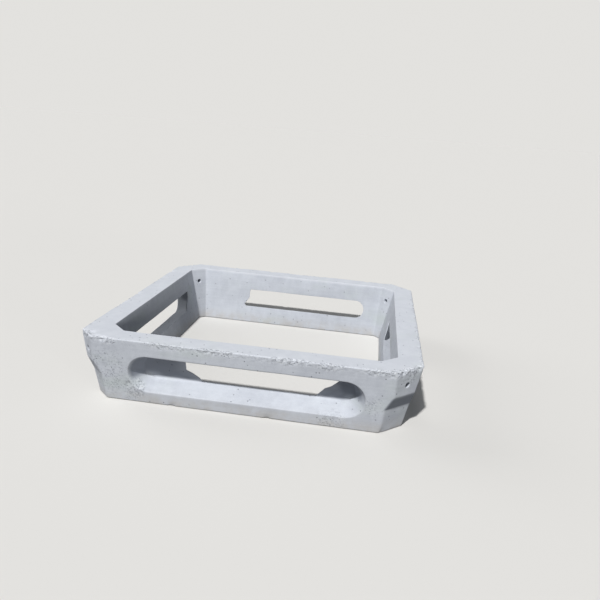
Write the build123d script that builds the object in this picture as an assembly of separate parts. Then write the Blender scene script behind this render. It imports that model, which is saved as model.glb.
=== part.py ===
from build123d import *
import math
import os

# Concrete revetment block: an open square frame cast in one piece, laid flat on a slope or bank.
# Millimetres. X and Y run along the sides, Z up, origin on the ground under the middle of the block.

# The block's outside
length_x = 1500.0
length_y = 1500.0
height = 310.0
outer_lean = 60.0
corner_leg_top = 115.0
corner_leg_bottom = 52.0
arris_radius = 6.0

# The front left corner's cut and notch stand this much further out along the diagonal
front_left_offset = 27.0

# The open middle
rim = 110.0
inner_lean_x = 60.0
inner_lean_y = 45.0
inner_leg_top = 72.0
inner_leg_bottom = 34.0

# The long slot through each wall: a wide mouth outside that narrows to a throat inside
outer_mouth_length = 1040.0
outer_mouth_height = 180.0
outer_mouth_level = 146.0
throat_length = 930.0
throat_height = 107.0
throat_level = 155.0

# A thin skin at the inner face closes some ends of the throats. Its free edges slant: each pair is the
# place along the wall at the throat's top and at its bottom, and None is an end without a skin.
skin_thickness = 12.0
skin_edges = {
    "front": ((-292.0, -212.0), (412.0, 303.0)),
    "back": ((-264.0, -298.0), None),
    "left": (None, (430.0, 368.0)),
    "right": (None, (290.0, 236.0)),
}

# The round hole through each corner, for the cable or pin that ties blocks together
corner_hole_diameter = 24.0
corner_hole_level = 235.0

# The notch under each corner, measured along the block's diagonal from its middle
notch_foot = 906.0
notch_knee = 930.0
notch_knee_level = 118.0
notch_roof_slope = 2.06

# How far cutting tools run past the faces that they cut
overrun = 30.0


def octagon(half_x, half_y, leg, front_left_leg, level):
    """The corners of a rectangle with cut-off corners, in order round the middle."""
    return [
        Vector(half_x, leg - half_y, level),
        Vector(half_x, half_y - leg, level),
        Vector(half_x - leg, half_y, level),
        Vector(leg - half_x, half_y, level),
        Vector(-half_x, half_y - leg, level),
        Vector(-half_x, front_left_leg - half_y, level),
        Vector(front_left_leg - half_x, -half_y, level),
        Vector(half_x - leg, -half_y, level),
    ]


def tapered_block(low, high):
    """The closed solid between two rings of corners whose edges are parallel, pair by pair."""
    return loft([make_face(Polyline(*ring, close=True)) for ring in (low, high)], ruled=True)


def leaning_plane(low_middle, high_middle, outward, along, level):
    """The plane of a leaning wall face, with its origin on the wall's middle line at a level."""
    share = level / height
    middle = low_middle + (high_middle - low_middle) * share
    uphill = high_middle - low_middle
    normal = along.cross(uphill)
    if normal.dot(outward) < 0:
        normal = normal * -1
    return Plane(origin=middle, x_dir=along, z_dir=normal)


def wall_slot(outward, along, half_outer, half_inner, inner_lean, edges):
    """The tool for one wall's slot: a flare from mouth to throat, less the skin left at the inner face."""
    up = Vector(0, 0, height)
    outer = leaning_plane(
        outward * (half_outer - outer_lean),
        outward * half_outer + up,
        outward,
        along,
        outer_mouth_level,
    )
    inner = leaning_plane(
        outward * (half_inner - inner_lean),
        outward * half_inner + up,
        outward,
        along,
        throat_level,
    )
    wide = outer * SlotOverall(outer_mouth_length, outer_mouth_height)
    narrow = inner * SlotOverall(throat_length, throat_height)
    tool = loft([narrow, wide], ruled=True)
    tool += extrude(wide, overrun)
    tool += extrude(narrow, -overrun)

    # The opening in the skin runs past the throat's top and bottom along its own slanted ends
    rise = throat_height if inner.y_dir.Z > 0 else -throat_height
    corners = []
    for edge, open_end in zip(edges, (-throat_length, throat_length)):
        top, bottom = edge or (open_end, open_end)
        slant = (top - bottom) / 2
        corners.append([(top + slant, rise), (bottom - slant, -rise)])
    (first, second), (fourth, third) = corners
    opening = make_face(Polyline(first, second, third, fourth, close=True))
    skin = extrude(Rectangle(2 * throat_length, 4 * throat_height) - opening, skin_thickness)
    skin += extrude(Rectangle(2 * throat_length, 4 * throat_height) - opening, -2 * overrun)
    return tool - inner * skin


half_x = length_x / 2
half_y = length_y / 2
front_left_cut = front_left_offset * math.sqrt(2)
body = tapered_block(
    octagon(
        half_x - outer_lean,
        half_y - outer_lean,
        corner_leg_bottom,
        corner_leg_bottom - front_left_cut,
        0,
    ),
    octagon(half_x, half_y, corner_leg_top, corner_leg_top - front_left_cut, height),
)
top_edges = body.faces().sort_by(Axis.Z)[-1].edges()
body = fillet(top_edges, arris_radius)

# The open middle runs past the top and the bottom along its own sloping sides
inner_x = half_x - rim
inner_y = half_y - rim
past = overrun / height
lean_past_x = inner_lean_x * past
lean_past_y = inner_lean_y * past
leg_past = (inner_leg_top - inner_leg_bottom) * past
body -= tapered_block(
    octagon(
        inner_x - inner_lean_x - lean_past_x,
        inner_y - inner_lean_y - lean_past_y,
        inner_leg_bottom - leg_past,
        inner_leg_bottom - leg_past,
        -overrun,
    ),
    octagon(
        inner_x + lean_past_x,
        inner_y + lean_past_y,
        inner_leg_top + leg_past,
        inner_leg_top + leg_past,
        height + overrun,
    ),
)

east = Vector(1, 0, 0)
north = Vector(0, 1, 0)
body -= wall_slot(-north, east, half_y, inner_y, inner_lean_y, skin_edges["front"])
body -= wall_slot(north, east, half_y, inner_y, inner_lean_y, skin_edges["back"])
body -= wall_slot(-east, north, half_x, inner_x, inner_lean_x, skin_edges["left"])
body -= wall_slot(east, north, half_x, inner_x, inner_lean_x, skin_edges["right"])

# Each corner's hole is level and square to the corner; its notch has a steep back and a sloping roof
reach = math.hypot(length_x, length_y)
diagonal = (half_x + half_y) / math.sqrt(2)
roof_end = diagonal + overrun
roof_end_level = notch_knee_level + (roof_end - notch_knee) * notch_roof_slope
foot_slope = (notch_knee - notch_foot) / notch_knee_level
notch_outline = [
    (notch_knee, notch_knee_level),
    (roof_end, roof_end_level),
    (roof_end, -overrun),
    (notch_foot - foot_slope * overrun, -overrun),
]
for quarter in range(4):
    turn = Rot(0, 0, 45 + 90 * quarter)
    hole = turn * Pos(diagonal / 2, 0, corner_hole_level) * Rot(0, 90, 0)
    body -= hole * Cylinder(corner_hole_diameter / 2, diagonal + overrun)
    notch_face = make_face(Plane.XZ * Polyline(*notch_outline, close=True))
    outwards = front_left_offset if quarter == 2 else 0
    body -= turn * Pos(outwards, 0, 0) * extrude(notch_face, reach / 4, both=True)

block = body.solid()
block.label = "revetment_block"

os.makedirs("parts", exist_ok=True)
export_step(block, "parts/revetment_block.step")
print("volume in litres", round(block.volume / 1e6, 1))
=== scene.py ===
import math

import bmesh
import bpy
import numpy as np
from mathutils import Matrix, Vector


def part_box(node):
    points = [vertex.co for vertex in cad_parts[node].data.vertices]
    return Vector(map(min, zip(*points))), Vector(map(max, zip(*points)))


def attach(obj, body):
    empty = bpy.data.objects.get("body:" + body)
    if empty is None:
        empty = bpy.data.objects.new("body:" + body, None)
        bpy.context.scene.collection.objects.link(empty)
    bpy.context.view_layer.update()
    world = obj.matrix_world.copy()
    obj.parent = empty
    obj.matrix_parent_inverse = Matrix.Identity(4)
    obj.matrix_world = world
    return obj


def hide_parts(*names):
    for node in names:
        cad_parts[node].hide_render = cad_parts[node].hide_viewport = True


bl_info = {
    "name": "Concrete revetment block",
    "version": (1, 0, 0),
    "blender": (4, 5, 0),
    "location": "View3D > Sidebar > Revetment",
    "description": "Casts an open square concrete block with flared slots and weathers its surface",
    "category": "Object",
}

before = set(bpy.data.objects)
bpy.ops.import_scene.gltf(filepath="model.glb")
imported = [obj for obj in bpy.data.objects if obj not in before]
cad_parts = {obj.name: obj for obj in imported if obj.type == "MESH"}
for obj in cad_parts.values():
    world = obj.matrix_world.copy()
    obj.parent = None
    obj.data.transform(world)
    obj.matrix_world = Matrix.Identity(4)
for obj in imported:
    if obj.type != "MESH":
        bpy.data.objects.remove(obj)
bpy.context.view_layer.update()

MM = 0.001
NODE = "revetment_block"
high_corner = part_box(NODE)[1]
block_height = high_corner.z
block_reach = high_corner.x


# Sizes and colours that a user may change

def length(name, description, default):
    """A length property shown in the scene's own units."""
    return bpy.props.FloatProperty(
        name=name, description=description, default=default, unit="LENGTH", precision=4
    )


def share(name, description, default):
    """A plain factor from 0 to 1."""
    return bpy.props.FloatProperty(
        name=name, description=description, default=default, min=0.0, max=1.0, subtype="FACTOR"
    )


def amount(name, description, default):
    """A plain number."""
    return bpy.props.FloatProperty(name=name, description=description, default=default)


def colour(name, description, default):
    """An sRGB hex colour, such as C8CCD0."""
    return bpy.props.StringProperty(name=name, description=description, default=default)


class BlockSizes(bpy.types.PropertyGroup):
    """The mould's sizes."""

    height: length("Height", "Ground to rim", block_height)
    outer_lean: length("Outer lean", "How far the outer faces lean in from rim to foot", 0.060)
    corner_leg: length("Corner leg", "Leg of the cut-off corner at the rim", 0.115)
    corner_leg_foot: length("Corner leg at the foot", "Leg of the cut-off corner at the foot", 0.052)
    arris_radius: length("Arris radius", "Rounding of the rim's outer edge", 0.006)
    front_left_offset: length("Front left offset", "How far that corner's cut stands out further", 0.027)
    rim: length("Rim", "Width of the wall's top", 0.110)
    inner_lean_x: length("Inner lean, sides", "Lean of the side walls' inner faces", 0.060)
    inner_lean_y: length("Inner lean, ends", "Lean of the front and back walls' inner faces", 0.045)
    inner_leg: length("Inner corner leg", "Leg of the inner corner at the rim", 0.072)
    inner_leg_foot: length("Inner corner leg at the foot", "Leg of the inner corner at the foot", 0.034)
    mouth_length: length("Mouth length", "Length of a slot's outer mouth", 1.040)
    mouth_height: length("Mouth height", "Height of a slot's outer mouth, along the face", 0.180)
    mouth_level: length("Mouth level", "Height of the outer mouth's middle", 0.146)
    throat_length: length("Throat length", "Length of a slot at the inner face", 0.930)
    throat_height: length("Throat height", "Height of a slot at the inner face, along the face", 0.107)
    throat_level: length("Throat level", "Height of the throat's middle", 0.155)
    skin: length("Skin", "Thickness of the skin that closes the slots' ends inside", 0.012)
    hole_radius: length("Hole radius", "Radius of the corner holes", 0.012)
    hole_level: length("Hole level", "Height of the corner holes", 0.235)
    notch_foot: length("Notch foot", "Diagonal distance from the middle to the notch at the ground", 0.906)
    notch_knee: length("Notch knee", "Diagonal distance from the middle to the notch's knee", 0.930)
    notch_knee_level: length("Notch knee level", "Height of the notch's knee", 0.118)
    lip: length("Lip", "How far each cast edge is worn round", 0.0045)
    inner_lip: length("Inner lip", "How far the rim's inner edge is worn round", 0.0018)
    feather: share("Feather", "Thickness of a skin at its free edge, as a share of the whole", 0.4)
    corner_wear: length("Corner wear", "How far the upright outer edges are worn round", 0.008)


class SurfaceWear(bpy.types.PropertyGroup):
    """How uneven and how worn the cast surface is, and its colours."""

    wave: length("Wave", "Height of the broad unevenness off the mould", 0.0011)
    dimple: length("Dimple", "Height of the unevenness a hand wide", 0.0005)
    crumble: length("Crumble", "Depth to which the rim's outer edge has crumbled", 0.0050)
    face_colour: colour("Face", "Concrete off the mould", "C7CBD2")
    # Also used as painted shade along the rim's outer edge, dimming its highlight
    dull_and_edge_shade_colour: colour("Dull face", "Damper and denser concrete", "B6BAC2")
    rim_colour: colour("Rim", "Trowelled and dried laitance on top", "CDD0D6")
    soil_colour: colour("Soil", "Dust splashed up from the ground", "BDB6AA")
    algae_colour: colour("Algae", "The faint green of damp concrete", "B4C1B2")
    pit_colour: colour("Pit", "The shaded bottom of an air hole", "6C7077")
    crumb_colour: colour("Crumb", "Fresh broken cement paste", "DDE0E2")
    # Painted shade: a darker colour laid deep in the slots, in the front slot's left end and on the notches'
    # roofs, where shade falls
    painted_shade_colour: colour("Sheltered", "Damp concrete deep in the slots", "858A94")


class StageSettings(bpy.types.PropertyGroup):
    """The floor and the lamps."""

    floor_colour: colour("Floor", "Plain pale floor", "DAD8D4")
    sky_colour: colour("Sky", "Light from all round", "E9F0FA")
    key_strength: amount("Key", "Strength of the key lamp", 3.6)
    key_softness: bpy.props.FloatProperty(
        name="Key softness", description="Width of the key lamp", default=math.radians(2.5), subtype="ANGLE"
    )
    side_strength: amount("Side", "Strength of the wide lamp on the left", 0.65)
    low_strength: amount("Low", "Strength of the low lamp at the front right", 0.60)
    fill_strength: amount("Fill", "Strength of the light from all round", 0.17)
    floor_bounce: share("Floor bounce", "How much of the floor's light falls on the block", 0.25)


# The skins' free edges, wall by wall (front, right, back, left), for the wall's first end and for its last:
# places along the wall and their levels, from the bottom up, and None is an open end
SKIN_EDGES = (
    (
        (
            (-0.212, 0.101), (-0.224, 0.116), (-0.259, 0.138),
            (-0.285, 0.149), (-0.287, 0.181), (-0.291, 0.209),
        ),
        (
            (0.303, 0.101), (0.314, 0.112), (0.340, 0.144),
            (0.366, 0.157), (0.394, 0.184), (0.411, 0.209),
        ),
    ),
    (None, ((0.238, 0.101), (0.240, 0.150), (0.254, 0.172), (0.273, 0.190), (0.287, 0.209))),
    (
        None,
        (
            (0.287, 0.102), (0.298, 0.114), (0.287, 0.129), (0.275, 0.146),
            (0.267, 0.160), (0.266, 0.198), (0.260, 0.209),
        ),
    ),
    (((-0.368, 0.101), (-0.377, 0.132), (-0.404, 0.152), (-0.419, 0.175), (-0.428, 0.209)), None),
)
NOTCH_ROOF_SLOPE = 2.06
# The panel that holds a slot's mouth reaches this far past the mouth's ends
PANEL_MARGIN = 0.045
# Levels between which the corner holes' panels lie, outside and inside
OUTER_HOLE_BAND = (0.197, 0.262)
INNER_HOLE_BAND = (0.200, 0.270)
# Width of the rim's finely meshed outer band
FINE_BAND = 0.026

# How many cells the mesh has along each stretch
SIDE_CELLS = 8
SLOT_CELLS = 120
SLOT_ARC_CELLS = 8
TURN_CELLS = 3
CORNER_CELLS = 16
FACE_CELLS = 34
HOLE_ROWS = 9
FINE = 3

# Stretches of the rim's outer edge that have crumbled most: x, y, reach along the edge, strength
ROUGH_STRETCHES = (
    (-0.700, -0.700, 0.080, 0.80),
    (-0.610, -0.750, 0.060, 0.75),
    (-0.340, -0.750, 0.110, 0.55),
    (-0.120, -0.750, 0.100, 0.65),
    (0.195, -0.750, 0.095, 1.00),
    (0.360, -0.750, 0.070, 0.55),
    (0.580, -0.750, 0.080, 0.80),
    (0.700, -0.700, 0.090, 1.00),
    (0.750, -0.560, 0.110, 0.80),
    (0.750, -0.200, 0.160, 0.70),
    (0.750, 0.320, 0.150, 0.60),
    (0.560, 0.750, 0.120, 0.60),
    (0.080, 0.750, 0.180, 0.75),
    (-0.420, 0.750, 0.110, 0.55),
    (-0.710, 0.690, 0.080, 0.80),
    (-0.750, 0.260, 0.140, 0.65),
    (-0.750, -0.220, 0.170, 0.75),
)

# Bites out of the edges: x, y, z, radius, depth
CHIPS = (
    (0.640, -0.748, 0.306, 0.016, 0.0050),
    (0.668, -0.722, 0.305, 0.020, 0.0065),
    (0.702, -0.690, 0.306, 0.015, 0.0055),
    (0.733, -0.655, 0.305, 0.020, 0.0060),
    (0.205, -0.748, 0.307, 0.013, 0.0040),
    (0.262, -0.748, 0.306, 0.011, 0.0035),
    (-0.625, -0.748, 0.305, 0.018, 0.0050),
    (-0.690, -0.700, 0.305, 0.020, 0.0055),
    (-0.655, -0.735, 0.304, 0.014, 0.0045),
    (0.748, -0.410, 0.306, 0.018, 0.0050),
    (0.748, 0.060, 0.306, 0.016, 0.0045),
    (0.470, 0.748, 0.306, 0.018, 0.0050),
    (-0.150, 0.748, 0.306, 0.015, 0.0045),
    (-0.748, 0.480, 0.306, 0.019, 0.0055),
    (-0.748, -0.060, 0.306, 0.015, 0.0045),
    (-0.520, -0.706, 0.088, 0.016, 0.0035),
    (0.610, -0.693, 0.004, 0.018, 0.0050),
    (-0.330, -0.691, 0.003, 0.016, 0.0040),
    (0.100, -0.691, 0.003, 0.014, 0.0035),
    (0.691, 0.240, 0.003, 0.018, 0.0045),
    (-0.691, -0.380, 0.003, 0.018, 0.0045),
    (-0.250, 0.691, 0.003, 0.016, 0.0040),
)

# Porous patches where the mould was not filled well: x, y, z, reach, strength
POROUS_PATCHES = (
    (-0.500, -0.700, 0.060, 0.070, 1.00),
    (-0.585, -0.720, 0.140, 0.045, 0.85),
    (-0.680, -0.690, 0.180, 0.120, 0.55),
    (-0.640, -0.720, 0.140, 0.210, 0.45),
    (0.380, -0.700, 0.030, 0.090, 0.55),
    (0.560, -0.710, 0.130, 0.080, 0.45),
    (0.690, -0.680, 0.270, 0.060, 0.80),
    (0.700, 0.450, 0.080, 0.120, 0.70),
    (0.300, 0.700, 0.060, 0.120, 0.80),
    (-0.480, 0.710, 0.120, 0.100, 0.70),
    (-0.700, 0.200, 0.050, 0.120, 0.80),
    (-0.710, -0.420, 0.130, 0.100, 0.70),
)


# Surfaces: each is worked out as whole arrays

def steps(start, end, count):
    """Evenly spaced values from start, without the end."""
    return np.linspace(start, end, count, endpoint=False)


def ease(value):
    """0 below 0, 1 above 1 and the cubic 3t^2 - 2t^3 between."""
    t = np.clip(value, 0, 1)
    return t * t * (3 - 2 * t)


def rising(value, start, end):
    """0 up to the start, 1 from the end on and the same cubic between. The end may lie below the start."""
    return ease((value - start) / (end - start))


def worn_corner(first, corner, last, count):
    """The quadratic curve (1-t)^2 first + 2t(1-t) corner + t^2 last, without its end."""
    t = steps(0, 1, count)[:, None]
    return (1 - t) ** 2 * first + 2 * t * (1 - t) * corner + t ** 2 * last


class Mould:
    """The block's ideal shape before wear, as functions of height and of the place along the outline."""

    def __init__(self, sizes):
        self.s = sizes
        self.height = sizes.height
        face_angle = math.pi / 2 - math.atan(sizes.outer_lean / sizes.height)
        self.arris_run = sizes.arris_radius / math.tan(face_angle / 2)
        self.half = block_reach + self.arris_run - sizes.arris_radius
        self.inner_half = self.half - sizes.rim
        # Corner by corner: front right, back right, back left, front left
        self.offsets = (0.0, 0.0, 0.0, sizes.front_left_offset * math.sqrt(2))

    def half_at(self, wall, z, inner):
        """Distance from the middle to a wall's face: linear from foot to rim."""
        if inner:
            lean = self.s.inner_lean_x if wall % 2 else self.s.inner_lean_y
            return self.inner_half - lean * (1 - z / self.height)
        return self.half - self.s.outer_lean * (1 - z / self.height)

    def corner_sum(self, z, inner):
        """The value of |x| + |y| on the flat corner face: linear from foot to rim."""
        up = z / self.height
        if inner:
            foot = 2 * self.inner_half - self.s.inner_lean_x - self.s.inner_lean_y - self.s.inner_leg_foot
            rim = 2 * self.inner_half - self.s.inner_leg
        else:
            foot = 2 * (self.half - self.s.outer_lean) - self.s.corner_leg_foot
            rim = 2 * self.half - self.s.corner_leg
        return foot + (rim - foot) * up

    def notched_sum(self, z):
        """|x| + |y| round the outside: the least of the corner, the notch's steep back and its sloping
        roof. It is averaged over a few millimetres of height, which rounds the notch's edges."""
        knee = self.s.notch_knee
        back_slope = (knee - self.s.notch_foot) / self.s.notch_knee_level
        total = 0
        for shift in (-0.4, -0.2, 0, 0.2, 0.4):
            above = z + shift * self.s.lip - self.s.notch_knee_level
            notch = knee + np.where(above < 0, above * back_slope, above / NOTCH_ROOF_SLOPE)
            total = total + np.minimum(self.corner_sum(z, False), notch * math.sqrt(2))
        return total / 5

    def outline(self, z, inner, density=1):
        """The closed ring of points round the block at one height: four walls and four flat corners.
        The turn between a wall and a corner is a worn curve. It runs anticlockwise seen from above."""
        reach = self.corner_sum(z, True) if inner else self.notched_sum(z)
        offsets = (0.0,) * 4 if inner else self.offsets
        turn = self.s.lip if inner else self.s.corner_wear
        ring = []
        for wall in range(4):
            here = self.half_at(wall, z, inner)
            beyond = self.half_at(wall + 1, z, inner)
            start = here - reach - offsets[wall - 1]
            end = reach + offsets[wall] - here
            first, last = self.panel(wall, inner)
            along = np.concatenate([
                steps(start + turn, first, SIDE_CELLS * density),
                steps(first, last, SLOT_CELLS * density),
                steps(last, end - turn, SIDE_CELLS * density),
            ])
            straight = np.column_stack([along, np.full(len(along), here)])
            edge = np.array([end, here])
            far_edge = np.array([beyond, end + here - beyond])
            slant = np.array([turn, -turn]) / math.sqrt(2)
            first_turn = worn_corner(edge - [turn, 0], edge, edge + slant, TURN_CELLS * density)
            t = steps(0, 1, CORNER_CELLS * density)[:, None]
            corner = (edge + slant) * (1 - t) + (far_edge - slant) * t
            last_turn = worn_corner(far_edge - slant, far_edge, far_edge - [0, turn], TURN_CELLS * density)
            local = np.concatenate([straight, first_turn, corner, last_turn])
            ring.append(self.place(wall, np.column_stack([local, np.full(len(local), z)])))
        return np.concatenate(ring)

    def panel(self, wall, inner):
        """Where the panel that holds a wall's slot starts and ends along the wall."""
        if not inner:
            side = self.s.mouth_length / 2 + PANEL_MARGIN
            return -side, side
        reach = self.corner_sum(0, True) - self.half_at(wall, 0, True)
        first, last = self.opening_ends(wall)
        return first - 0.5 * (reach + first), last + 0.5 * (reach - last)

    def opening_ends(self, wall):
        """How far the opening in a wall's inner face reaches to each end."""
        first, last = SKIN_EDGES[wall]
        half = self.s.throat_length / 2
        return (
            min(along for along, up in first) if first else -half,
            max(along for along, up in last) if last else half,
        )

    @staticmethod
    def place(wall, local):
        """A wall's own (along, outward, up) turned a quarter turn for each wall after the front one."""
        x, y = local[:, 0], -local[:, 1]
        for _ in range(wall):
            x, y = -y, x
        return np.column_stack([x, y, local[:, 2]])

    def uphill(self, wall, inner):
        """The unit vector up a wall's leaning face, as (outward, up)."""
        lean = self.half_at(wall, self.height, inner) - self.half_at(wall, 0, inner)
        slope = math.hypot(lean, self.height)
        return lean / slope, self.height / slope

    def bar(self, wall, inner):
        """A slot's outline on a leaning face, in the wall's own coordinates: a bar with round ends. Its
        points start at the lower left, go along the bottom, round the right end, back along the top and
        round the left end."""
        if inner:
            long, tall, level = self.s.throat_length, self.s.throat_height, self.s.throat_level
        else:
            long, tall, level = self.s.mouth_length, self.s.mouth_height, self.s.mouth_level
        radius = tall / 2
        end = long / 2 - radius
        straight = SLOT_CELLS - 2 * SLOT_ARC_CELLS
        eighth = math.pi / 4
        angles = np.concatenate([
            steps(-3 * eighth, -2 * eighth, SLOT_ARC_CELLS),
            np.full(straight, -2 * eighth),
            steps(-2 * eighth, -eighth, SLOT_ARC_CELLS),
            steps(-eighth, eighth, FACE_CELLS),
            steps(eighth, 2 * eighth, SLOT_ARC_CELLS),
            np.full(straight, 2 * eighth),
            steps(2 * eighth, 3 * eighth, SLOT_ARC_CELLS),
            steps(3 * eighth, 5 * eighth, FACE_CELLS),
        ])
        centres = np.concatenate([
            np.full(SLOT_ARC_CELLS, -end),
            steps(-end, end, straight),
            np.full(2 * SLOT_ARC_CELLS + FACE_CELLS, end),
            steps(end, -end, straight),
            np.full(SLOT_ARC_CELLS + FACE_CELLS, -end),
        ])
        outward, up = self.uphill(wall, inner)
        rise = radius * np.sin(angles)
        return np.column_stack([
            centres + radius * np.cos(angles),
            self.half_at(wall, level, inner) + rise * outward,
            level + rise * up,
        ])

    def grown(self, wall, inner, ring, distance):
        """A ring on a leaning face moved outwards in that face, square to the line through each point's
        neighbours."""
        outward, up = self.uphill(wall, inner)
        flat = np.column_stack([ring[:, 0], ring[:, 2] / up])
        tangent = np.roll(flat, -1, axis=0) - np.roll(flat, 1, axis=0)
        tangent /= np.linalg.norm(tangent, axis=1)[:, None]
        rise = -tangent[:, 0] * distance
        return ring + np.column_stack([tangent[:, 1] * distance, rise * outward, rise * up])

    def hole_mouth(self, corner, inner, across, upward, grow=0.0):
        """A corner hole's mouth: a circle seen along the level diagonal, laid on the leaning corner."""
        eighth = math.pi / 4
        angles = np.concatenate([
            steps(-3 * eighth, -eighth, across),
            steps(-eighth, eighth, upward),
            steps(eighth, 3 * eighth, across),
            steps(3 * eighth, 5 * eighth, upward),
        ])
        sideways = (self.s.hole_radius + grow) * np.cos(angles) / math.sqrt(2)
        up = self.s.hole_level + (self.s.hole_radius + grow) * np.sin(angles)
        total = self.corner_sum(up, inner) + (0.0 if inner else self.offsets[corner])
        return self.place(corner, np.column_stack([total / 2 + sideways, total / 2 - sideways, up]))


def cut_end(ring, edge, first):
    """The ring with its part beyond a skin's free edge swapped for that edge: the edge's places along the
    wall, read at even steps of height and shifted linearly so that both its ends meet the ring."""
    edge = np.array(edge)
    half = len(ring) // 2
    if first:
        ring = np.roll(ring, -half, axis=0)
        edge = edge[::-1]
    start = np.argmin(abs(ring[:SLOT_CELLS, 0] - edge[0, 0]))
    end = half + np.argmin(abs(ring[half:half + SLOT_CELLS, 0] - edge[-1, 0]))
    t = np.linspace(0, 1, end - start + 1)
    levels = (edge[:, 1] - edge[0, 1]) / (edge[-1, 1] - edge[0, 1])
    along = np.interp(t, levels, edge[:, 0])
    along += (1 - t) * (ring[start, 0] - edge[0, 0]) + t * (ring[end, 0] - edge[-1, 0])
    cut = ring.copy()
    cut[start:end + 1] = ring[start] * (1 - t[:, None]) + ring[end] * t[:, None]
    cut[start:end + 1, 0] = along
    return np.roll(cut, half, axis=0) if first else cut


class Shell:
    """Collects grids of points as one mesh; shared borders are welded afterwards."""

    def __init__(self):
        self.points = []
        self.faces = []
        self.count = 0

    def add(self, grid, closed=False, skip=()):
        """A grid of rows and columns as four-sided faces. closed joins the last column to the first.
        skip lists blocks of cells (first row, last row, first column, last column) that are left open."""
        rows, columns = grid.shape[:2]
        index = self.count + np.arange(rows * columns).reshape(rows, columns)
        if closed:
            index = np.concatenate([index, index[:, :1]], axis=1)
        cells = np.stack([index[:-1, :-1], index[:-1, 1:], index[1:, 1:], index[1:, :-1]], axis=-1)
        keep = np.ones(cells.shape[:2], bool)
        for first_row, last_row, first_column, last_column in skip:
            keep[first_row:last_row, first_column:last_column] = False
        self.faces.extend(cells[keep].tolist())
        self.points.append(grid.reshape(-1, 3))
        self.count += rows * columns

    def stitch(self, coarse, fine):
        """Triangles between a closed ring and one beside it with FINE times its points."""
        n = len(coarse)
        a = self.count + np.arange(n + 1) % n
        b = self.count + n + np.arange(n * FINE + 1) % (n * FINE)
        middle = FINE // 2
        triangles = []
        for step in range(FINE):
            corner = a[:-1] if step <= middle else a[1:]
            triangles.append(np.column_stack([corner, b[step + 1::FINE], b[step:-1:FINE]]))
            if step == middle:
                triangles.append(np.column_stack([a[:-1], a[1:], b[step + 1::FINE]]))
        self.faces.extend(np.concatenate(triangles).tolist())
        self.points.extend([coarse, fine])
        self.count += n * (FINE + 1)

    def mesh(self, name):
        """The welded mesh with its faces pointing outwards."""
        data = bpy.data.meshes.new(name)
        corners = np.concatenate([np.array(face) for face in self.faces])
        used, renumbered = np.unique(corners, return_inverse=True)
        ends = np.cumsum([len(face) for face in self.faces])[:-1]
        faces = [face.tolist() for face in np.split(renumbered.ravel(), ends)]
        data.from_pydata(np.concatenate(self.points)[used].tolist(), [], faces)
        work = bmesh.new()
        work.from_mesh(data)
        bmesh.ops.remove_doubles(work, verts=work.verts, dist=0.02 * MM)
        bmesh.ops.recalc_face_normals(work, faces=work.faces)
        work.to_mesh(data)
        work.free()
        return data


def border(grid, block):
    """The points round a block of cells of a grid: bottom row, right column, top row, left column."""
    low, high, left, right = block
    return np.concatenate([
        grid[low, left:right],
        grid[low:high, right],
        grid[high, left + 1:right + 1][::-1],
        grid[low + 1:high + 1, left][::-1],
    ])


def run(first, last, count):
    """Rows in straight lines from one closed line towards another, without the last one."""
    t = steps(0, 1, count)[:, None, None]
    return first * (1 - t) + last * t


def lip_run(first, edge, last, count):
    """Rows round a worn edge: (1-t)^2 first + 2t(1-t) edge + t^2 last, without the last one."""
    t = steps(0, 1, count)[:, None, None]
    return (1 - t) ** 2 * first + 2 * t * (1 - t) * edge + t ** 2 * last


def slot_rows(mould, wall, outer_border, inner_border):
    """A slot as rows of closed lines: over the outer face, round the worn mouth, down the flare to the
    skin, across the skin's back to its free edge, through the skin and over the inner face."""
    lip = mould.s.lip
    fine_lip = 0.4 * lip
    wide = mould.bar(wall, False)
    narrow = mould.bar(wall, True)
    # Each line from mouth to throat is straight, so the skin's back cuts it at one share of its length
    outward, up = mould.uphill(wall, True)
    depth = (wide[:, 1] - mould.half_at(wall, wide[:, 2], True)) * up
    part = (mould.s.skin / depth)[:, None]
    back = narrow * (1 - part) + wide * part
    hole = narrow
    thin = narrow * (1 - mould.s.feather * part) + wide * mould.s.feather * part
    for edge, first in zip(SKIN_EDGES[wall], (True, False)):
        if edge:
            hole = cut_end(hole, edge, first)
            thin = cut_end(thin, edge, first)
    back_hole = np.where((hole != narrow).any(axis=1)[:, None], thin, back)
    worn_mouth = mould.grown(wall, False, wide, lip)
    worn_hole = mould.grown(wall, True, hole, fine_lip)
    start = 1.5 * lip / mould.s.rim
    inside = wide * (1 - start) + back * start
    end = 1.5 * fine_lip / mould.s.skin
    near = hole * (1 - end) + back_hole * end
    lines = worn_mouth, wide, inside, back, back_hole, near, hole, worn_hole
    placed = [mould.place(wall, line) for line in lines]
    worn_mouth, wide, inside, back, back_hole, near, hole, worn_hole = placed
    return np.concatenate([
        run(outer_border, worn_mouth, 4),
        lip_run(worn_mouth, wide, inside, 3),
        run(inside, back, 6),
        run(back, back_hole, 3),
        run(back_hole, near, 1),
        lip_run(near, hole, worn_hole, 2),
        run(worn_hole, inner_border, 5),
        inner_border[None],
    ])


def hole_rows(mould, corner, outer_border, inner_border):
    """A corner hole as rows of closed lines: outer face, worn mouth, bore, worn mouth, inner face."""
    cells = (CORNER_CELLS, HOLE_ROWS)
    lip = 0.5 * mould.s.lip
    outer, worn_outer = (mould.hole_mouth(corner, False, *cells, grow) for grow in (0, lip))
    inner, worn_inner = (mould.hole_mouth(corner, True, *cells, grow) for grow in (0, lip))
    start = 1.5 * lip / mould.s.rim
    from_outside = outer * (1 - start) + inner * start
    from_inside = outer * start + inner * (1 - start)
    return np.concatenate([
        run(outer_border, worn_outer, 4),
        lip_run(worn_outer, outer, from_outside, 2),
        run(from_outside, from_inside, 6),
        lip_run(from_inside, inner, worn_inner, 2),
        run(worn_inner, inner_border, 3),
        inner_border[None],
    ])


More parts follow.
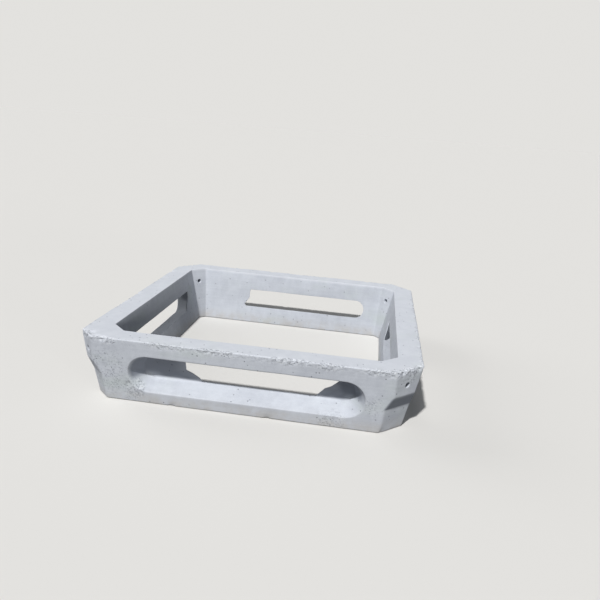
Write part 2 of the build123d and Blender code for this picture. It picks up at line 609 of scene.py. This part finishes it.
def block_surface(sizes):
    """The block's whole surface. The outline at each height is a ring, and the rings are stacked up the
    outside, over the rim, down the inside and back under the foot, so that they make one closed grid.
    Panels of that grid are left open for the four slots and the four corner holes, and rows fill them."""
    mould = Mould(sizes)
    shell = Shell()
    height, lip = mould.height, sizes.lip

    # The rows lie closer together where the notch's knee and the top of its roof turn
    hole_low, hole_high = OUTER_HOLE_BAND
    face_levels = np.concatenate([
        steps(lip, 0.108, 11),
        steps(0.108, 0.128, 4),
        steps(0.128, 0.180, 5),
        steps(0.180, 0.190, 4),
        steps(0.190, hole_low, FACE_CELLS - HOLE_ROWS - 24),
        np.linspace(hole_low, hole_high, HOLE_ROWS + 1),
    ])
    outer = np.stack([mould.outline(z, False) for z in face_levels])
    inner_hole_low, inner_hole_high = INNER_HOLE_BAND
    inner_rows_above = 5
    inner_levels = np.concatenate([
        steps(lip, inner_hole_low, FACE_CELLS - HOLE_ROWS - inner_rows_above),
        steps(inner_hole_low, inner_hole_high, HOLE_ROWS),
        np.linspace(inner_hole_high, height - sizes.inner_lip - 0.0025, inner_rows_above),
        [height - sizes.inner_lip],
    ])
    inner = np.stack([mould.outline(z, True) for z in inner_levels])

    per_wall = 2 * SIDE_CELLS + SLOT_CELLS + 2 * TURN_CELLS + CORNER_CELLS
    corner_start = 2 * SIDE_CELLS + SLOT_CELLS + TURN_CELLS
    outer_blocks, inner_blocks = [], []
    for wall in range(4):
        left = wall * per_wall + SIDE_CELLS
        columns = (left, left + SLOT_CELLS)
        outer_blocks.append((0, FACE_CELLS, *columns))
        inner_blocks.append((0, FACE_CELLS, *columns))
    for corner in range(4):
        left = corner * per_wall + corner_start
        columns = (left, left + CORNER_CELLS)
        outer_blocks.append((FACE_CELLS - HOLE_ROWS, FACE_CELLS, *columns))
        top_row = FACE_CELLS - inner_rows_above
        inner_blocks.append((top_row - HOLE_ROWS, top_row, *columns))
    shell.add(outer, closed=True, skip=outer_blocks)
    shell.add(inner[::-1], closed=True, skip=[
        (FACE_CELLS - high, FACE_CELLS - low, left, right) for low, high, left, right in inner_blocks
    ])
    for wall in range(4):
        borders = border(outer, outer_blocks[wall]), border(inner, inner_blocks[wall])
        shell.add(slot_rows(mould, wall, *borders), closed=True)
    for corner in range(4):
        borders = border(outer, outer_blocks[4 + corner]), border(inner, inner_blocks[4 + corner])
        shell.add(hole_rows(mould, corner, *borders), closed=True)

    def ring(part, z, density=1):
        """A ring part of the way from the outer face to the inner one."""
        return (1 - part) * mould.outline(z, False, density) + part * mould.outline(z, True, density)

    # The rim's rough outer band has a finer mesh: up the face, round the arris and onto the top
    arris = mould.arris_run
    drop = arris * height / math.hypot(height, sizes.outer_lean)
    band = [(0.0, z) for z in steps(hole_high + 0.004, height - drop, 9)]
    band += [
        (arris * (1 - math.cos(a)) / sizes.rim, height - drop * (1 - math.sin(a)))
        for a in np.linspace(0, math.pi / 2, 6)
    ]
    band += [(part, height) for part in np.linspace(arris, FINE_BAND, 5)[1:] / sizes.rim]
    fine = np.stack([ring(part, z, FINE) for part, z in band])
    shell.add(fine, closed=True)
    shell.stitch(outer[-1], fine[0])

    # The rest of the top, the inner arris, and the underside
    inner_lip = sizes.inner_lip
    worn = inner_lip / sizes.rim
    turn = np.linspace(0, math.pi / 2, 4)
    part_edges = (FINE_BAND + 0.006) / sizes.rim, 1 - worn - 0.0025 / sizes.rim
    top = [(part, height) for part in (*np.linspace(*part_edges, 7), 1 - worn)]
    top += [(1 - worn * (1 - math.sin(a)), height - inner_lip * (1 - math.cos(a))) for a in turn[1:]]
    worn = lip / sizes.rim
    top_rows = np.stack([ring(part, z) for part, z in top])
    shell.add(top_rows, closed=True)
    shell.stitch(top_rows[0], fine[-1])
    under = [(1 - worn * (1 - math.cos(a)), lip * (1 - math.sin(a))) for a in turn]
    under += [(part, 0.0) for part in np.linspace(1 - worn, worn, 6)[1:-1]]
    under += [(worn * (1 - math.sin(a)), lip * (1 - math.cos(a))) for a in turn]
    shell.add(np.stack([ring(part, z) for part, z in under]), closed=True)
    return shell.mesh("cast_block")


# Relief and wear. Each noise has its wavelength and its seed.

EDGE_STRAY = (0.028, 11)
EDGE_PATCHES = (0.09, 12)
PATCH_STRAY = (0.05, 13)
LUMPS = (0.015, 14)
SMALL_LUMPS = (0.008, 15)
CHIP_LUMPS = (0.009, 16)
WAVES = (0.21, 17)
DIMPLES = (0.055, 18)
SMALL_DIMPLES = (0.024, 19)
PORE_LUMPS = (0.016, 20)

# Where the slots' inside is: below this level, nearer than this to the wall's middle, and over a sill that
# rises this much for its depth
SLOT_TOP = 0.240
SLOT_END = 0.530
SILL_RISE = 0.48
# |x| + |y| is more than this on the corners
LEAST_CORNER_SUM = 1.25


def gradient_noise(points, wavelength, seed):
    """Gradient noise from about -1 to 1: each corner of a cubic grid has a seeded direction, and a point
    takes the sum of its offsets along the eight directions round it, each weighed by
    6t^5 - 15t^4 + 10t^3."""
    random = np.random.default_rng(seed)
    order = random.permutation(256)
    directions = random.normal(size=(256, 3))
    directions /= np.linalg.norm(directions, axis=1)[:, None]
    place = points / wavelength
    cell = np.floor(place).astype(int)
    inside = place - cell
    weight = inside ** 3 * (inside * (inside * 6 - 15) + 10)
    total = np.zeros(len(points))
    for corner in np.ndindex(2, 2, 2):
        index = 0
        for axis in range(3):
            index = order[(index + cell[:, axis] + corner[axis]) & 255]
        pull = ((inside - corner) * directions[index]).sum(axis=1)
        total += pull * np.where(corner, weight, 1 - weight).prod(axis=1)
    return 1.6 * total


def near_spots(points, spots):
    """The strongest of the spots at each point: strength times 3t^2 - 2t^3, where t is 1.6 times (1 minus
    distance over reach). A spot's last two numbers are its reach and strength, and the rest its place."""
    strongest = np.zeros(len(points))
    for *place, reach, strength in spots:
        distance = np.linalg.norm(points[:, :len(place)] - place, axis=1)
        strongest = np.maximum(strongest, strength * ease(1.6 * (1 - distance / reach)))
    return strongest


def rim_distance(points, mould):
    """How far each point is from the rim's outer edge: the way in from the leaning face, and 0.65 of the
    way below the top, as the legs of a right angle."""
    across = np.abs(points[:, :2])
    front_left = (points[:, 0] < 0) * (points[:, 1] < 0) * mould.offsets[3]
    rim_sum = 2 * mould.half - mould.s.corner_leg + front_left
    from_corner = (rim_sum - across.sum(axis=1)) / math.sqrt(2)
    from_rim = np.minimum(mould.half - across.max(axis=1), from_corner)
    below = mould.height - points[:, 2]
    aside = np.maximum(from_rim - below * mould.s.outer_lean / mould.height, 0)
    return np.hypot(aside, 0.65 * below)


def painted_shade_share(points, mould):
    """How strongly each point takes painted shade, from 0 to 1: deep in the slots above their sills, in the
    front slot's left end, and on the notches' roofs but the front left one. Each is a product of cubic
    steps."""
    across = np.abs(points[:, :2])
    outward, sideways, level = across.max(axis=1), across.min(axis=1), points[:, 2]
    depth = mould.half_at(0, level, False) - outward
    on_side_wall = across[:, 0] > across[:, 1]
    inner_face = np.where(on_side_wall, mould.half_at(1, level, True), mould.half_at(0, level, True))
    in_slot = rising(outward - inner_face, 0.002, 0.007) * (level < SLOT_TOP) * (sideways < SLOT_END)

    above_sill = rising(level - SILL_RISE * depth, 0.059, 0.069)
    low_in_round_end = rising(sideways, 0.41, 0.44) * (1 - rising(level, 0.118, 0.143))
    in_slots = in_slot * rising(depth, 0.018, 0.048) * above_sill * (1 - low_in_round_end)

    on_front_left = (points[:, 1] < -across[:, 0]) * rising(-points[:, 0], 0.452, 0.472)
    left_end = in_slot * on_front_left * rising(depth, 0.004, 0.012) * rising(level, 0.104, 0.129)

    above_knee = level - mould.s.notch_knee_level
    roof_sum = (mould.s.notch_knee + above_knee / NOTCH_ROOF_SLOPE) * math.sqrt(2)
    on_roof = rising(np.abs(roof_sum - across.sum(axis=1)), 0.006, 0.002) * rising(above_knee, 0, 0.004)
    on_roof *= rising(mould.corner_sum(level, False) - roof_sum, 0, 0.006)
    on_roof *= (across.sum(axis=1) > LEAST_CORNER_SUM) * ((points[:, 0] > 0) | (points[:, 1] > 0))
    return np.maximum(np.maximum(in_slots, left_end), on_roof)


def wear(data, sizes, finish):
    """Moves each vertex along its normal: broad waves off the mould, hand-wide dimples, crumbling along the
    rim's outer edge and chips. Keeps the material's masks as attributes of the mesh."""
    count = len(data.vertices)
    points = np.empty(count * 3)
    normals = np.empty(count * 3)
    data.vertices.foreach_get("co", points)
    data.vertices.foreach_get("normal", normals)
    points, normals = points.reshape(-1, 3), normals.reshape(-1, 3)

    mould = Mould(sizes)
    from_edge = rim_distance(points, mould)
    # Painted shade along the rim's outer edge: the worn arris is darkened where its highlight falls
    edge = rising(from_edge, 0.011, 0.004)
    from_edge = from_edge + 0.007 * gradient_noise(points, *EDGE_STRAY)
    roughness = 0.22 + 0.25 * gradient_noise(points, *EDGE_PATCHES) + near_spots(points, ROUGH_STRETCHES)
    crumbled = rising(from_edge, 0.024, 0.006) * np.clip(roughness, 0, 1)
    strayed = points + 0.02 * gradient_noise(points, *PATCH_STRAY)[:, None]
    porous = near_spots(strayed, POROUS_PATCHES)
    # Where painted shade goes: deep in the slots, in the front slot's left end and on the notches' roofs
    painted_shade = painted_shade_share(points, mould)

    lumps = 0.42 + 0.75 * gradient_noise(points, *LUMPS) + 0.55 * gradient_noise(points, *SMALL_LUMPS)
    depth = finish.crumble * crumbled * np.clip(lumps, -0.15, 1.1)
    for *place, radius, bite in CHIPS:
        distance = np.linalg.norm(points - place, axis=1) / radius
        unevenness = 1 + 0.3 * gradient_noise(points, *CHIP_LUMPS)
        depth += bite * np.clip(1.15 - distance ** 2, 0, 1) * unevenness
    rise = finish.wave * gradient_noise(points, *WAVES)
    rise += finish.dimple * gradient_noise(points, *DIMPLES)
    rise += 0.35 * finish.dimple * gradient_noise(points, *SMALL_DIMPLES)
    rise += 0.6 * MM * porous * gradient_noise(points, *PORE_LUMPS)
    points = points + normals * (rise - depth)[:, None]
    low = np.array([-block_reach, -block_reach, 0.0])
    high = np.array([block_reach, block_reach, sizes.height])
    points = np.clip(points, low + 0.01 * MM, high - 0.01 * MM)
    data.vertices.foreach_set("co", points.ravel())
    masks = {"crumbled": crumbled, "porous": porous, "painted_shade": painted_shade, "edge": edge}
    for name, values in masks.items():
        data.attributes.new(name, "FLOAT", "POINT").data.foreach_set("value", values.astype(np.float32))
    data.update()


# Materials

def linear(code):
    """An sRGB hex colour as linear RGBA."""
    values = np.array([int(code[i:i + 2], 16) / 255 for i in (0, 2, 4)])
    values = np.where(values <= 0.04045, values / 12.92, ((values + 0.055) / 1.055) ** 2.4)
    return (*values.tolist(), 1.0)


def add(tree, kind, settings=None, inputs=None):
    """Adds one node. settings are its own properties; inputs give each socket a value or an output."""
    node = tree.nodes.new(kind)
    for name, value in (settings or {}).items():
        setattr(node, name, value)
    for name, value in (inputs or {}).items():
        if isinstance(value, bpy.types.NodeSocket):
            tree.links.new(value, node.inputs[name])
        else:
            node.inputs[name].default_value = value
    return node


def cast_concrete(finish):
    """Cast concrete, taken out of a steel mould and left outdoors: a pale matt grey with cloudy darker and
    lighter areas, fine sand grain, small air holes, faint level lines from filling, and loose white crumbs
    and pits where its edge has broken. The air holes and pits take painted shade, and so do the slots' deep
    insides, the notches' roofs and the rim's outer edge."""
    material = bpy.data.materials.new("cast_concrete")
    material.use_nodes = True
    tree = material.node_tree
    shader = tree.nodes["Principled BSDF"]
    place = add(tree, "ShaderNodeTexCoord").outputs["Object"]
    height = add(tree, "ShaderNodeSeparateXYZ", inputs={"Vector": place}).outputs["Z"]

    def cloud(size, detail=3.0, rough=0.5, stretch=(1, 1, 1), shift=(0, 0, 0)):
        """Noise whose patches are this big, in metres, times the stretch along each axis."""
        vector = add(tree, "ShaderNodeMapping", inputs={
            "Vector": place, "Scale": [1 / (size * s) for s in stretch], "Location": shift,
        }).outputs["Vector"]
        return add(tree, "ShaderNodeTexNoise", inputs={
            "Vector": vector, "Scale": 1.0, "Detail": detail, "Roughness": rough,
        }).outputs["Fac"]

    def mapped(value, low, high, to_low=0.0, to_high=1.0):
        """A smooth step between two values, with its ends given."""
        return add(tree, "ShaderNodeMapRange", {"interpolation_type": "SMOOTHSTEP"}, {
            "Value": value, "From Min": low, "From Max": high, "To Min": to_low, "To Max": to_high,
        }).outputs["Result"]

    def maths(operation, *values):
        """One sum on values or outputs."""
        return add(tree, "ShaderNodeMath", {"operation": operation}, dict(enumerate(values))).outputs[0]

    def mixed(factor, first, second):
        """The first colour at 0 and the second at 1."""
        return add(tree, "ShaderNodeMix", {"data_type": "RGBA"}, {0: factor, 6: first, 7: second}).outputs[2]

    crumbled, porous, painted_shade, edge = (
        add(tree, "ShaderNodeAttribute", {"attribute_name": name}).outputs["Fac"]
        for name in ("crumbled", "porous", "painted_shade", "edge")
    )

    # Broad tone, mottling, lines 11 mm apart from filling, runs 30 mm wide down the faces, and sand grain.
    # The sand is finer than 2 mm, and is drawn at 4.5 mm so that it shows.
    tone = cloud(0.40, 3.0)
    mottle = cloud(0.060, 5.0, 0.6, shift=(3, 7, 1))
    grain = cloud(0.0045, 2.0, 0.6)
    level_lines = cloud(0.011, 3.0, 0.6, stretch=(24, 24, 1), shift=(5, 2, 8))
    runs = cloud(0.030, 3.0, 0.6, stretch=(1, 1, 9), shift=(9, 4, 2))
    dullness = maths("MULTIPLY", tone, 0.5)
    for layer, weight in ((mottle, 0.7), (level_lines, 0.35), (runs, 0.35), (grain, 0.45)):
        dullness = maths("ADD", dullness, maths("MULTIPLY", layer, weight))
    surface = mixed(mapped(dullness, 0.88, 1.50), linear(finish.face_colour), linear(finish.dull_and_edge_shade_colour))

    # Pale laitance on the rim, dust near the ground, a faint green where it stays damp, painted shade deep
    # in the slots and on the notches' roofs, and painted shade along the rim's outer edge
    on_top = mapped(height, 0.296, 0.307)
    rim_share = maths("MULTIPLY", on_top, mapped(mottle, 0.25, 0.60, 0.95, 0.65))
    surface = mixed(rim_share, surface, linear(finish.rim_colour))
    soil = maths("MULTIPLY", mapped(height, 0.075, 0.0), mapped(mottle, 0.35, 0.65, 0.10, 0.45))
    surface = mixed(soil, surface, linear(finish.soil_colour))
    damp = cloud(0.16, 3.0, 0.55, stretch=(2.0, 2.0, 1), shift=(1, 9, 4))
    surface = mixed(mapped(damp, 0.52, 0.75, 0.0, 0.25), surface, linear(finish.algae_colour))
    # Painted shade deep in the slots, in the front slot's left end and on the notches' roofs
    surface = mixed(maths("MULTIPLY", painted_shade, 0.90), surface, linear(finish.painted_shade_colour))
    # Painted shade: the rim's outer edge is darkened towards the dull colour, dimming its highlight
    surface = mixed(maths("MULTIPLY", edge, 0.45), surface, linear(finish.dull_and_edge_shade_colour))

    # Air holes up to 8 mm across, and pinholes close together where it is porous
    def holes(cell, radius, shift):
        """Round spots of this radius, about one to a cell."""
        vector = add(tree, "ShaderNodeMapping", inputs={
            "Vector": place, "Location": shift,
        }).outputs["Vector"]
        distance = add(tree, "ShaderNodeTexVoronoi", inputs={
            "Vector": vector, "Scale": 1 / cell, "Randomness": 1.0,
        }).outputs["Distance"]
        return mapped(distance, radius / cell, 0.55 * radius / cell)

    air_holes = holes(0.034, 0.0036, (0.3, 0.1, 0.2))
    where_pinholes = mapped(porous, 0.15, 0.6, 0.0, 0.7)
    pinholes = maths("MULTIPLY", holes(0.0095, 0.0030, (0.5, 0.7, 0.9)), where_pinholes)
    # Sandy grit where it is porous: dark and pale specks about a centimetre apart
    grit = cloud(0.011, 2.0, 0.6, shift=(4, 8, 6))
    gritty = maths("MULTIPLY", mapped(porous, 0.05, 0.80), mapped(mottle, 0.38, 0.62, 0.35, 1.0))
    dark_grit = maths("MULTIPLY", mapped(grit, 0.48, 0.66), maths("MULTIPLY", gritty, 0.40))
    pale_grit = maths("MULTIPLY", mapped(grit, 0.50, 0.34), maths("MULTIPLY", gritty, 0.45))
    surface = mixed(dark_grit, surface, linear(finish.pit_colour))
    surface = mixed(pale_grit, surface, linear(finish.crumb_colour))
    edge_noise = cloud(0.0085, 3.0, 0.65, shift=(2, 6, 3))
    where_pits = mapped(crumbled, 0.10, 0.45, 0.0, 0.65)
    edge_pits = maths("MULTIPLY", mapped(edge_noise, 0.44, 0.34), where_pits)
    crumbs = maths("MULTIPLY", mapped(edge_noise, 0.50, 0.62), mapped(crumbled, 0.05, 0.35))
    pits = maths("MAXIMUM", maths("MAXIMUM", air_holes, pinholes), edge_pits)
    # Painted shade in the air holes, pinholes and pits: the dark pit colour stands for the shade at their
    # bottoms
    surface = mixed(maths("MULTIPLY", pits, 0.70), surface, linear(finish.pit_colour))
    surface = mixed(maths("MULTIPLY", crumbs, 0.40), surface, linear(finish.crumb_colour))
    tree.links.new(surface, shader.inputs["Base Color"])

    tree.links.new(mapped(mottle, 0.3, 0.7, 0.94, 0.84), shader.inputs["Roughness"])
    shader.inputs["Specular IOR Level"].default_value = 0.35
    rise = maths("MULTIPLY", grain, 0.35 * MM)
    for layer, millimetres in ((mottle, 0.9), (level_lines, 0.25)):
        rise = maths("ADD", rise, maths("MULTIPLY", layer, millimetres * MM))
    rise = maths("ADD", rise, maths("MULTIPLY", edge_noise, maths("MULTIPLY", crumbled, 3.2 * MM)))
    rise = maths("SUBTRACT", rise, maths("MULTIPLY", pits, 1.6 * MM))
    bump = add(tree, "ShaderNodeBump", inputs={"Height": rise, "Distance": 1.0, "Strength": 1.0})
    tree.links.new(bump.outputs["Normal"], shader.inputs["Normal"])
    return material


def plain_floor(stage):
    """Matt paper: one pale colour, whose bounce onto the block is held back."""
    material = bpy.data.materials.new("matt_paper")
    material.use_nodes = True
    tree = material.node_tree
    shader = tree.nodes["Principled BSDF"]
    shader.inputs["Roughness"].default_value = 1.0
    shader.inputs["Specular IOR Level"].default_value = 0.0
    pale = linear(stage.floor_colour)
    held_back = (*(v * stage.floor_bounce for v in pale[:3]), 1.0)
    seen = add(tree, "ShaderNodeLightPath").outputs["Is Camera Ray"]
    both = add(tree, "ShaderNodeMix", {"data_type": "RGBA"}, {0: seen, 6: held_back, 7: pale})
    tree.links.new(both.outputs[2], shader.inputs["Base Color"])
    return material


# One operator for the block and one for the stage

class CastBlock(bpy.types.Operator):
    """Casts the block as one closed surface and wears it"""

    bl_idname = "revetment.cast_block"
    bl_label = "Cast the block"

    def execute(self, context):
        sizes = context.scene.revetment_sizes
        finish = context.scene.revetment_wear
        data = block_surface(sizes)
        wear(data, sizes, finish)
        data.shade_smooth()
        data.materials.append(cast_concrete(finish))
        block = bpy.data.objects.new("cast_concrete_block", data)
        context.scene.collection.objects.link(block)
        # Flat faces stay flat right up to their worn edges
        block.modifiers.new("flat_faces", "WEIGHTED_NORMAL")
        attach(block, "root")
        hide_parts(NODE)
        return {"FINISHED"}


class SetStage(bpy.types.Operator):
    """Lays the plain floor and sets the lamps and the camera"""

    bl_idname = "revetment.set_stage"
    bl_label = "Set the stage"

    def execute(self, context):
        scene = context.scene
        stage = scene.revetment_stage
        scene.view_settings.view_transform = "Standard"

        reach = 400
        data = bpy.data.meshes.new("floor")
        signs = ((-1, -1), (1, -1), (1, 1), (-1, 1))
        corners = [(x * reach, y * reach, -MM) for x, y in signs]
        data.from_pydata(corners, [], [(0, 1, 2, 3)])
        data.materials.append(plain_floor(stage))
        floor = bpy.data.objects.new("floor", data)
        scene.collection.objects.link(floor)

        towards_key = Vector((-0.21, -0.87, 1.0)).normalized()
        towards_side = Vector((-1.0, 0.30, 0.50)).normalized()
        towards_low = Vector((0.75, -0.65, 0.06)).normalized()
        lit = 0
        for name, towards, strength, softness in (
            ("key", towards_key, stage.key_strength, stage.key_softness),
            ("side", towards_side, stage.side_strength, math.radians(40)),
            ("low", towards_low, stage.low_strength, math.radians(8)),
        ):
            sun = bpy.data.lights.new(name, "SUN")
            sun.energy = strength
            sun.angle = softness
            lamp = bpy.data.objects.new(name, sun)
            lamp.rotation_euler = towards.to_track_quat("Z", "Y").to_euler()
            scene.collection.objects.link(lamp)
            lit += strength * towards.z / math.pi

        # What the camera sees behind the floor has the floor's own lit colour, so no horizon shows
        world = bpy.data.worlds.new("studio")
        scene.world = world
        world.use_nodes = True
        tree = world.node_tree
        sky = linear(stage.sky_colour)
        pale = linear(stage.floor_colour)
        seen = [p * (lit + s * stage.fill_strength) for p, s in zip(pale[:3], sky[:3])]
        light = add(tree, "ShaderNodeBackground", inputs={"Color": sky, "Strength": stage.fill_strength})
        backdrop = add(tree, "ShaderNodeBackground", inputs={"Color": (*seen, 1.0), "Strength": 1.0})
        camera_ray = add(tree, "ShaderNodeLightPath").outputs["Is Camera Ray"]
        both = add(tree, "ShaderNodeMixShader", inputs={
            0: camera_ray, 1: light.outputs[0], 2: backdrop.outputs[0],
        })
        tree.links.new(both.outputs[0], tree.nodes["World Output"].inputs["Surface"])

        # The lens and the turn that put the block's corners where the photograph has them
        camera = bpy.data.cameras.new("camera")
        camera.sensor_width = 36
        camera.lens = 36.1
        eye = bpy.data.objects.new("camera", camera)
        scene.collection.objects.link(eye)
        right = (0.98822, 0.13329, 0.07519)
        down = (0.10852, -0.26390, -0.95843)
        ahead = (-0.10791, 0.95530, -0.27526)
        turn = Matrix((right, [-v for v in down], [-v for v in ahead])).transposed()
        eye.matrix_world = Matrix.Translation((0.4742, -3.0464, 1.2313)) @ turn.to_4x4()
        scene.camera = eye
        return {"FINISHED"}


class RevetmentPanel(bpy.types.Panel):
    """Lists the block's steps and settings"""

    bl_idname = "VIEW3D_PT_revetment"
    bl_label = "Concrete revetment block"
    bl_space_type = "VIEW_3D"
    bl_region_type = "UI"
    bl_category = "Revetment"

    def draw(self, context):
        scene = context.scene
        for operator, group in (
            (CastBlock, scene.revetment_sizes),
            (CastBlock, scene.revetment_wear),
            (SetStage, scene.revetment_stage),
        ):
            self.layout.operator(operator.bl_idname)
            for name in group.__annotations__:
                self.layout.prop(group, name)


GROUPS = {
    "revetment_sizes": BlockSizes,
    "revetment_wear": SurfaceWear,
    "revetment_stage": StageSettings,
}
CLASSES = (*GROUPS.values(), CastBlock, SetStage, RevetmentPanel)


def register():
    """Registers the classes and puts the settings on the scene."""
    for item in CLASSES:
        bpy.utils.register_class(item)
    for name, group in GROUPS.items():
        setattr(bpy.types.Scene, name, bpy.props.PointerProperty(type=group))


def unregister():
    """Takes away what register added."""
    for name in GROUPS:
        delattr(bpy.types.Scene, name)
    for item in reversed(CLASSES):
        bpy.utils.unregister_class(item)


def main():
    """Registers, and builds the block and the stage."""
    register()
    bpy.ops.revetment.cast_block()
    bpy.ops.revetment.set_stage()


if __name__ == "__main__":
    main()
